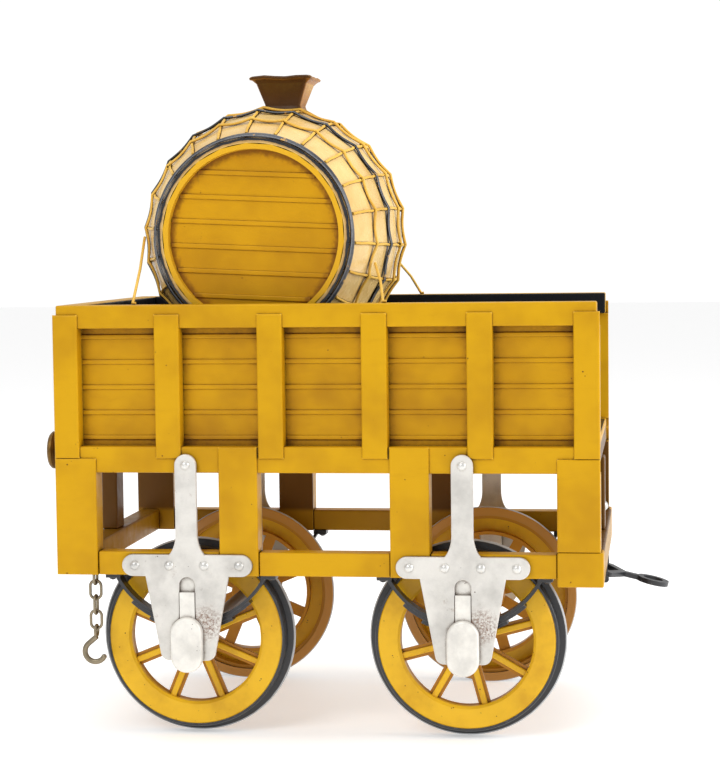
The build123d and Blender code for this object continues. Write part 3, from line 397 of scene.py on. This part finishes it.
def black_paint(name, base=BLACK, worn=srgb(150, 152, 156), wear=0.8, chip=None, rough=0.32, trims=()):
    """Semi-gloss black over metal, worn through at the edges; chip is what shows where it has flaked."""
    paint = Paint(name)
    cloud = paint.ramp(paint.noise(7.0, 5.0), 0.3, 0.8)
    colour = paint.mix(cloud, base, tuple(c * 2.1 + 0.004 for c in base))
    rubbed = paint.math("ADD", paint.shut_in(0.5, True), paint.math("MULTIPLY", paint.noise(1.2, 5.0), 0.5))
    rim = paint.ramp(rubbed, 0.62, 0.95)
    colour = paint.mix(paint.math("MULTIPLY", rim, wear), colour, worn)
    if chip:
        flakes = paint.ramp(paint.noise(2.6, 6.0, 0.7), 0.6, 0.64)
        colour = paint.mix(flakes, colour, chip)
    dust = paint.math("MULTIPLY", paint.ramp(paint.noise(2.0, 6.0, 0.8), 0.55, 0.8), 0.18)
    colour = paint.mix(dust, colour, srgb(120, 100, 80))
    for trim in trims:
        colour = trim(paint, colour)
    paint.shine = 0.5
    paint.bump((paint.noise(1.2, 5.0), 0.05), (paint.noise(5.0, 2.0), 0.12))
    roughness = paint.math("ADD", rough, paint.math("MULTIPLY", cloud, 0.15))
    return paint.finish(colour, roughness, coat=0.2)


def slot_rust(paint, colour):
    """A rust patch beside the slot of each axle guard."""
    near = paint.math("MINIMUM", paint.distance_from(REAR_X + 4.8 * MM, 33 * MM),
                      paint.distance_from(FRONT_X + 4.8 * MM, 33 * MM))
    spread = paint.ramp(paint.ragged(near, 3.0, 3.0), 8.0 * MM, 3.5 * MM)
    grain = paint.ramp(paint.noise(0.8, 6.0, 0.8), 0.42, 0.6)
    rusty = paint.math("MULTIPLY", paint.math("MULTIPLY", spread, grain), 0.85)
    return paint.mix(rusty, colour, srgb(112, 68, 36))


def silver_paint(name, base, rust_reach, rust=0.8, metallic=0.35, rough=0.42, trims=()):
    """Brushed-on silver with grime round the fastenings, rust patches and dark specks."""
    paint = Paint(name)
    cloud = paint.ramp(paint.noise(9.0, 5.0, 0.65), 0.3, 0.75)
    colour = paint.mix(cloud, base, tuple(c * 0.72 for c in base))
    grain = paint.math("MULTIPLY", paint.noise(1.2, 6.0, 0.8), 0.5)
    crease = paint.math("ADD", paint.shut_in(rust_reach), grain)
    dirt = paint.math("MULTIPLY", paint.ramp(crease, 0.44, 0.86), rust)
    colour = paint.mix(dirt, colour, srgb(84, 58, 38))
    patch = paint.math("MULTIPLY", paint.ramp(paint.noise(7.0, 6.0, 0.75), 0.62, 0.74), 0.6)
    colour = paint.mix(patch, colour, srgb(128, 96, 66))
    colour = paint.mix(specks(paint, 0.8, 0.36), colour, srgb(70, 46, 30))
    for trim in trims:
        colour = trim(paint, colour)
    paint.bump((paint.noise(4.0, 4.0), 0.12), (paint.noise(0.7, 4.0), 0.04))
    roughness = paint.math("ADD", rough, paint.math("MULTIPLY", dirt, 0.3))
    return paint.finish(colour, roughness, metallic)


def make_materials():
    made = {
        "frame_yellow": enamel("frame_enamel", srgb(207, 157, 12), srgb(187, 137, 12), frame_side=True),
        "plank_yellow": enamel("plank_enamel", srgb(203, 152, 12), srgb(175, 125, 12), 4.5, 0.8, 0.35,
                               frame_side=True),
        "stave_yellow": enamel("stave_enamel", srgb(240, 206, 136), srgb(214, 172, 98), 3.0, 0.7, 0.4, 0.3,
                               0.25, trims=(barrel_end,), shine=0.6),
        "head_yellow": enamel("head_enamel", srgb(206, 152, 12), srgb(186, 133, 12), 4.0, 0.75, 0.4,
                              trims=(chime, barrel_end)),
        "net_yellow": enamel("net_enamel", srgb(236, 192, 92), srgb(208, 158, 60), 1.2, 0.6, 0.2, 0.3),
        # The funnel's trim paints shade on its near-facing side.
        "funnel_brown": enamel("funnel_enamel", srgb(170, 116, 44), srgb(104, 62, 20), 6.0, 0.9, 0.5,
                               trims=(funnel_side_shade,)),
        "wheel_yellow": wheel_paint(),
        "tyre_black": black_paint("tyre_black", trims=(flange_line, tyre_back)),
        "spring_black": black_paint("spring_black", wear=0.35),
        "hoop_black": black_paint("hoop_black", srgb(30, 34, 42), wear=0.5, chip=srgb(200, 150, 60)),
        "drawbar_black": black_paint("drawbar_black", wear=0.5),
        "cradle_black": black_paint("cradle_black", wear=0.2, rough=0.6),
        "guard_silver": silver_paint("guard_silver", srgb(222, 219, 213), 1.6, trims=(slot_rust,)),
        "box_steel": silver_paint("box_steel", srgb(240, 237, 230), 1.6, 0.7),
        "bolt_steel": silver_paint("bolt_steel", srgb(222, 221, 217), 0.8, 0.5, 0.6, 0.3),
        "axle_steel": silver_paint("axle_steel", srgb(120, 112, 104), 2.0, 0.8, 0.8),
        "chain_steel": silver_paint("chain_steel", srgb(150, 138, 116), 0.8, 0.9, 0.8, 0.4),
        "buffer_brass": silver_paint("buffer_brass", srgb(120, 90, 44), 2.0, 0.8, 0.7),
    }
    slots = {row["node"]: row["material_slot"] for row in frame["record"]["subparts"]}
    for name, obj in frame["nodes"].items():
        obj.data.materials.clear()
        obj.data.materials.append(made[slots[name]])
    return made


# ---- fine pieces ---------------------------------------------------------------------------------
def stave_radius(y):
    """Outer radius of the barrel at a distance y along its axis from the middle."""
    return BULGE_RADIUS - STAVE_ARC + math.sqrt(STAVE_ARC ** 2 - y ** 2)


def on_barrel(angle, y, radius):
    """A point round the barrel's axis, in the row frame."""
    return BARREL_CENTRE + Vector((radius * math.cos(angle), y, radius * math.sin(angle)))


def new_piece(name, verts, faces, material, smooth_angle=math.radians(35)):
    """A mesh piece with shared normals made consistent and only its soft edges shaded smooth."""
    mesh = bpy.data.meshes.new(name)
    mesh.from_pydata(verts, [], faces)
    work = bmesh.new()
    work.from_mesh(mesh)
    bmesh.ops.recalc_face_normals(work, faces=work.faces)
    for edge in work.edges:
        edge.smooth = len(edge.link_faces) == 2 and edge.calc_face_angle(0.0) < smooth_angle
    for face in work.faces:
        face.smooth = True
    work.to_mesh(mesh)
    work.free()
    mesh.materials.append(material)
    piece = bpy.data.objects.new(name, mesh)
    bpy.context.collection.objects.link(piece)
    return piece


def loft_rings(rings, closed_ends=True):
    """Vertices and faces of a skin over equal rings of points, capped at both ends."""
    count = len(rings[0])
    verts = [point for ring in rings for point in ring]
    faces = []
    for i in range(len(rings) - 1):
        for j in range(count):
            k = (j + 1) % count
            faces.append((i * count + j, i * count + k, (i + 1) * count + k, (i + 1) * count + j))
    if closed_ends:
        faces.append(tuple(range(count)))
        faces.append(tuple(range(len(verts) - count, len(verts))))
    return verts, faces


def close_loop(rings):
    """A skin over rings whose last one joins on to the first."""
    verts, faces = loft_rings(rings, closed_ends=False)
    count = len(rings[0])
    last = len(verts) - count
    faces += [(last + j, last + (j + 1) % count, (j + 1) % count, j) for j in range(count)]
    return verts, faces


def tube(points, radius, sides=8, loop=False, flat=1.0, outward=None):
    """A tube along points; flat below 1 squashes it in the direction that outward gives."""
    rings = []
    total = len(points)
    for i, point in enumerate(points):
        after = points[(i + 1) % total] if loop or i < total - 1 else point
        before = points[i - 1] if loop or i > 0 else point
        along = (after - before).normalized()
        lift = outward(point) if outward else Vector((0.31, 0.52, 0.79))
        side = along.cross(lift).normalized()
        lift = side.cross(along).normalized()
        rings.append([point + radius * (math.cos(a) * side + flat * math.sin(a) * lift)
                      for a in (2 * math.pi * k / sides for k in range(sides))])
    if loop:
        return close_loop(rings)
    return loft_rings(rings)


def join_shapes(shapes):
    """One vertex and face list from several."""
    verts, faces = [], []
    for more_verts, more_faces in shapes:
        start = len(verts)
        verts += more_verts
        faces += [tuple(start + k for k in face) for face in more_faces]
    return verts, faces


def stave_edge(i):
    """Angle round the barrel of the groove before stave i."""
    return FIRST_STAVE_EDGE + 2 * math.pi / STAVES * i


def make_staves():
    """Flat-faced staves, each a closed plank with eased edges, meeting at shallow grooves."""
    steps = 20
    groove = 0.28 * MM
    ease = 0.35 * MM
    gap = 0.03 * MM
    shapes = []
    for i in range(STAVES):
        start, end = stave_edge(i), stave_edge(i + 1)
        settle = random.uniform(-0.12, 0.05) * MM
        rings = []
        for k in range(steps + 1):
            y = -BARREL_HALF + 2 * BARREL_HALF * k / steps
            radius = stave_radius(y) + settle
            inner = stave_radius(y) - STAVE_THICKNESS
            left, right = on_barrel(start, y, radius), on_barrel(end, y, radius)
            across = (right - left).normalized()
            low_left = on_barrel(start, y, radius - groove)
            low_right = on_barrel(end, y, radius - groove)
            rings.append([low_left + across * gap, left + across * ease, (left * 2 + right) / 3,
                          (left + right * 2) / 3, right - across * ease, low_right - across * gap,
                          on_barrel(end, y, inner), on_barrel(start, y, inner)])
        shapes.append(loft_rings(rings))
    verts, faces = join_shapes(shapes)
    piece = new_piece("barrel_staves", verts, faces, materials["stave_yellow"], math.radians(25))
    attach(piece, "wagon_body")
    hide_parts("barrel_shell")


def away_from_axis(point):
    """Outward direction from the barrel's axis at a point."""
    return Vector((point.x - BARREL_CENTRE.x, 0, point.z - BARREL_CENTRE.z)).normalized()


def net_line_points(i):
    """A wire from rim to rim along a stave edge, a little uneven."""
    points = []
    reach = BARREL_HALF - END_HOOP - WIRE
    drift = random.uniform(-0.012, 0.012)
    for k in range(25):
        y = -reach + 2 * reach * k / 24
        wander = drift * math.sin(math.pi * k / 24) + 0.004 * math.sin(k * 1.9 + i)
        points.append(on_barrel(stave_edge(i) + wander, y, stave_radius(y) + WIRE * 0.9))
    return points


def net_ring_points(y, seed, lift, sway, count=8):
    """A wire or strap round the barrel that rides over each line, dips between and wanders sideways."""
    turns = random.Random(seed)
    shifts = [turns.uniform(-1, 1) * sway for _ in range(STAVES)]
    points = []
    for i in range(STAVES):
        for k in range(count):
            part = k / count
            ease = part * part * (3 - 2 * part)
            shift = shifts[i] * (1 - ease) + shifts[(i + 1) % STAVES] * ease
            angle = stave_edge(i) + 2 * math.pi / STAVES * part
            dip = math.sin(math.pi * part)
            chord = math.cos(math.pi / STAVES) / math.cos(math.pi / STAVES * (2 * part - 1))
            radius = (stave_radius(y + shift) + lift) * chord - 0.55 * lift * dip
            points.append(on_barrel(angle, y + shift, radius))
    return points


def lashing(i, y):
    """Two turns of thin wire round a crossing."""
    centre = on_barrel(stave_edge(i), y, stave_radius(y) + WIRE * 1.6)
    out = away_from_axis(centre)
    side = Vector((0, 1, 0)).cross(out)
    points = []
    for k in range(21):
        angle = 2 * math.pi * k / 10
        lean = (k / 20 - 0.5) * 0.9 * MM
        points.append(centre + side * (math.cos(angle) * 0.62 * MM + lean * 0.5) + Vector((0, lean, 0))
                      + out * math.sin(angle) * 0.75 * MM * 0.8)
    return tube(points, 0.2 * MM, 6)


def make_net():
    """The wire net, its lashings at some crossings and the stays to the rails."""
    shapes = [tube(net_line_points(i), WIRE, 8, outward=away_from_axis) for i in range(STAVES)]
    for seed, y in enumerate(NET_RING_Y):
        ring = net_ring_points(y * MM, seed + 3, 2.7 * WIRE, 0.9 * MM)
        shapes.append(tube(ring, WIRE, 8, True, outward=away_from_axis))
        for i in range(STAVES):
            if (i * 7 + seed * 5) % 3 == 0:
                shapes.append(lashing(i, y * MM))
    for angle, foot_x in STAYS:
        for side in (-1, 1):
            y = side * NET_RING_Y[-1] * MM
            top = on_barrel(math.radians(angle), y, stave_radius(y) + 3.2 * WIRE)
            foot = Vector((foot_x * MM, side * (INNER_FACE + 3.0 * MM), TOP_RAIL_TOP + 0.35 * MM))
            middle = (top + foot) / 2 + Vector((0.4 * MM, 0, 0.3 * MM))
            hook = foot + Vector((0.9 * MM, 0, 0.1 * MM))
            stay = [top, top.lerp(middle, 0.5), middle, middle.lerp(foot, 0.5), foot, hook]
            shapes.append(tube(stay, WIRE, 8))
    verts, faces = join_shapes(shapes)
    piece = new_piece("net_wires", verts, faces, materials["net_yellow"], math.radians(70))
    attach(piece, "wagon_body")
    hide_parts("barrel_net")


def hoop_band(y0, y1, outer, lip):
    """A rolled hoop hugging the staves between two places, with rounded edges."""
    rings = []
    around = 132
    for k in range(around):
        angle = 2 * math.pi * k / around
        wobble = 0.12 * MM * math.sin(3 * angle + 1.0) + 0.08 * MM * math.sin(7 * angle)
        profile = [(y0 + lip, outer * 0.15), (y0 + wobble, outer * 0.55), (y0 + lip + wobble, outer),
                   (y1 - lip - wobble, outer), (y1 - wobble, outer * 0.55), (y1 - lip, outer * 0.15)]
        rings.append([on_barrel(angle, y, stave_radius(max(-BARREL_HALF, min(BARREL_HALF, y))) + rise)
                      for y, rise in profile])
    return close_loop(rings)


def make_hoops():
    """Black end hoops and the narrow wandering straps over the net."""
    shapes = []
    for side in (-1, 1):
        ends = sorted((side * BARREL_HALF, side * (BARREL_HALF - END_HOOP)))
        shapes.append(hoop_band(ends[0], ends[1], 0.62 * MM, 0.3 * MM))
        strap = net_ring_points(side * MID_HOOP_Y, 20 + side, 2.3 * WIRE, 0.45 * MM)
        shapes.append(tube(strap, 0.8 * MM, 8, True, 0.5, away_from_axis))
    verts, faces = join_shapes(shapes)
    piece = new_piece("hoops", verts, faces, materials["hoop_black"], math.radians(50))
    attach(piece, "wagon_body")
    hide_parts("barrel_hoops")


def rounded_square(half, corner, z, wobble, centre):
    """Points of a square with rounded corners at a height, with an uneven edge."""
    points = []
    for quarter in range(4):
        for k in range(7):
            angle = math.pi / 2 * (quarter + k / 6)
            cx = (half - corner) * (1 if quarter in (0, 3) else -1)
            cy = (half - corner) * (1 if quarter in (0, 1) else -1)
            points.append((cx + corner * math.cos(angle), cy + corner * math.sin(angle)))
        ax, ay = points[-1]
        nx, ny = {0: (-1, 1), 1: (-1, -1), 2: (1, -1), 3: (1, 1)}[quarter]
        bx = (half - corner) * nx + corner * math.cos(math.pi / 2 * (quarter + 1))
        by = (half - corner) * ny + corner * math.sin(math.pi / 2 * (quarter + 1))
        points += [(ax + (bx - ax) * t, ay + (by - ay) * t) for t in (0.2, 0.4, 0.6, 0.8)]
    made = []
    for x, y in points:
        ripple = wobble * (math.sin(x * 620 + y * 210) + 0.6 * math.sin(y * 930 - x * 480 + 1.3))
        made.append(Vector((centre.x + x, centre.y + y, z + ripple)))
    return made


def make_funnel():
    """Thin sheet funnel with a rolled, uneven rim and a flange lying on the barrel."""
    low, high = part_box("filler_funnel")
    centre = (low + high) / 2
    half_top = (high.x - low.x) / 2
    base_z = BARREL_CENTRE.z + BULGE_RADIUS + 0.4 * MM
    top_z = high.z - 0.5 * MM
    outside = [(5.6 * MM, base_z - 0.3 * MM, 0), (5.3 * MM, base_z + 0.5 * MM, 0),
               (5.2 * MM, base_z + 1.0 * MM, 0),
               (half_top - 1.9 * MM, top_z - 2.0 * MM, 0.3), (half_top - 0.9 * MM, top_z - 1.0 * MM, 0.8),
               (half_top - 0.25 * MM, top_z - 0.75 * MM, 1), (half_top - 0.05 * MM, top_z - 0.3 * MM, 1),
               (half_top - 0.45 * MM, top_z + 0.1 * MM, 1), (half_top - 1.2 * MM, top_z - 0.1 * MM, 1)]
    inside = [(half_top - 2.2 * MM, top_z - 1.4 * MM, 0.6), (4.6 * MM, base_z + 1.2 * MM, 0),
              (3.4 * MM, base_z + 0.4 * MM, 0)]
    rings = [rounded_square(half, min(half * 0.16, 1.2 * MM), z, share * 0.14 * MM, centre)
             for half, z, share in outside + inside]
    verts, faces = loft_rings(rings)
    piece = new_piece("funnel_sheet", verts, faces, materials["funnel_brown"], math.radians(40))
    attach(piece, "wagon_body")
    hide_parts("filler_funnel")


make_camera()
make_studio()
materials = make_materials()
make_staves()
make_net()
make_hoops()
make_funnel()
